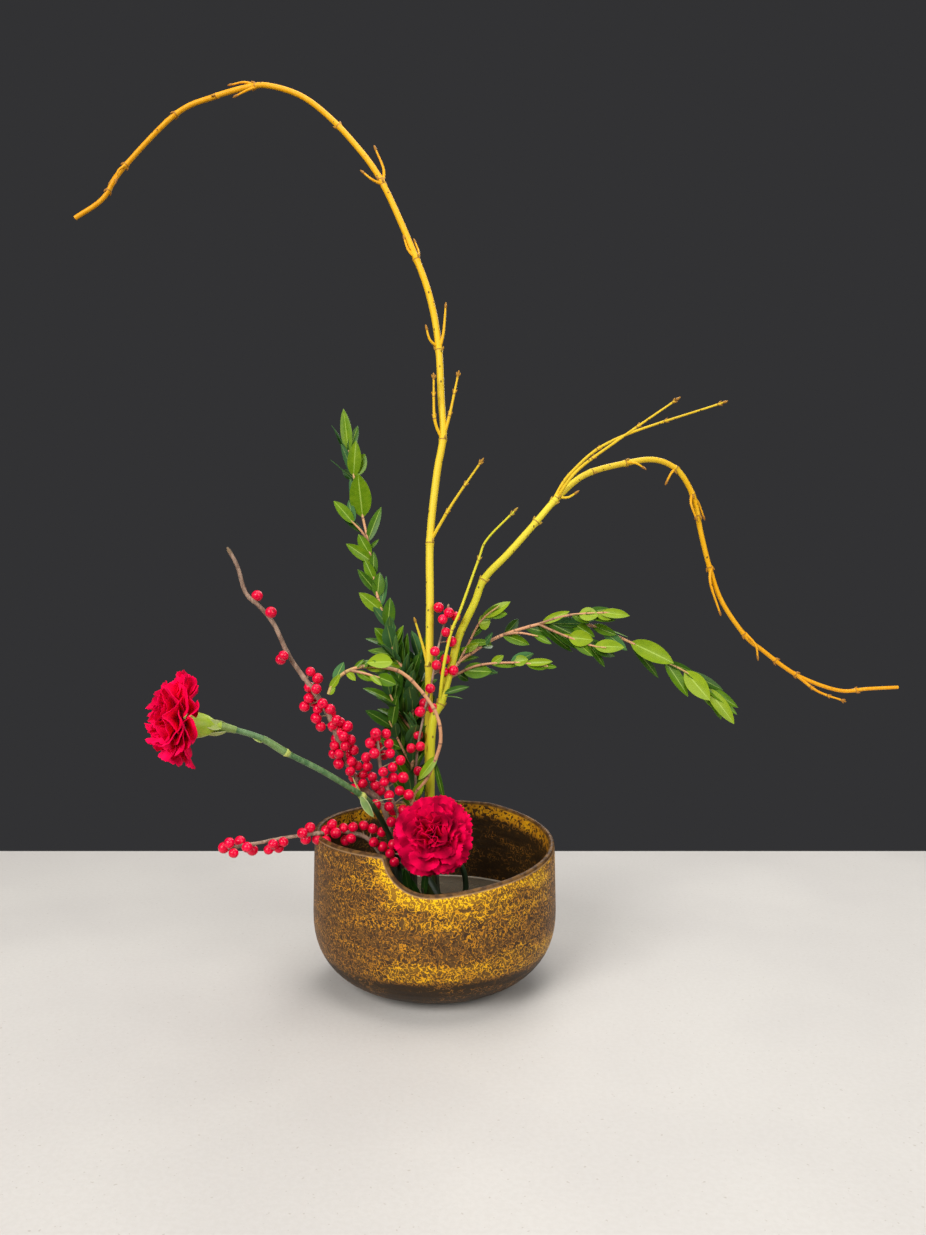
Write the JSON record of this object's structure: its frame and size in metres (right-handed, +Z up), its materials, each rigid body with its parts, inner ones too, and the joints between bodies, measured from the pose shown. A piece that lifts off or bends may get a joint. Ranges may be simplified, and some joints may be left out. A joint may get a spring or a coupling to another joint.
{
  "type": "ikebana arrangement",
  "caption": "Flower arrangement of arching yellow twigs, myrtle, red berries and carnations on a pin holder in a notched stoneware bowl.",
  "frame": {"origin": "centre of the bowl's flat foot, on the surface that it stands on", "axes": "+Z up, the bowl's notch faces -Y, +X to the right seen from the notch"},
  "size_m": [0.8877, 0.3466, 0.8884],
  "materials": {
    "glaze": "matt brown glaze with fine yellow crackle marks",
    "kenzan_metal": "dull, wet",
    "water": "clear still water",
    "dogwood_bark": "smooth golden bark",
    "myrtle_leaf": "semi-gloss leaves",
    "myrtle_bark": "smooth pinkish brown bark",
    "winterberry_bark": "fine grey-brown bark",
    "winterberry": "glossy red berries on matt grey-brown stems",
    "carnation_green": "waxy blue-green",
    "petals": "matt velvety petals"
  },
  "bodies": {
    "root": {"bowl": "glaze", "water": "water", "kenzan": "kenzan_metal", "dogwood_tall": "dogwood_bark", "dogwood_right": "dogwood_bark", "myrtle_upright": "myrtle_leaf", "myrtle_right": "myrtle_leaf", "myrtle_loop": "myrtle_leaf", "myrtle_front": "myrtle_leaf", "winterberry_tall": "winterberry", "winterberry_low": "winterberry", "winterberry_centre": "winterberry", "winterberry_inner": "winterberry", "carnation_left_stem": "carnation_green", "carnation_left_bloom": "petals", "carnation_front_stem": "carnation_green", "carnation_front_bloom": "petals"}
  },
  "joints": []
}
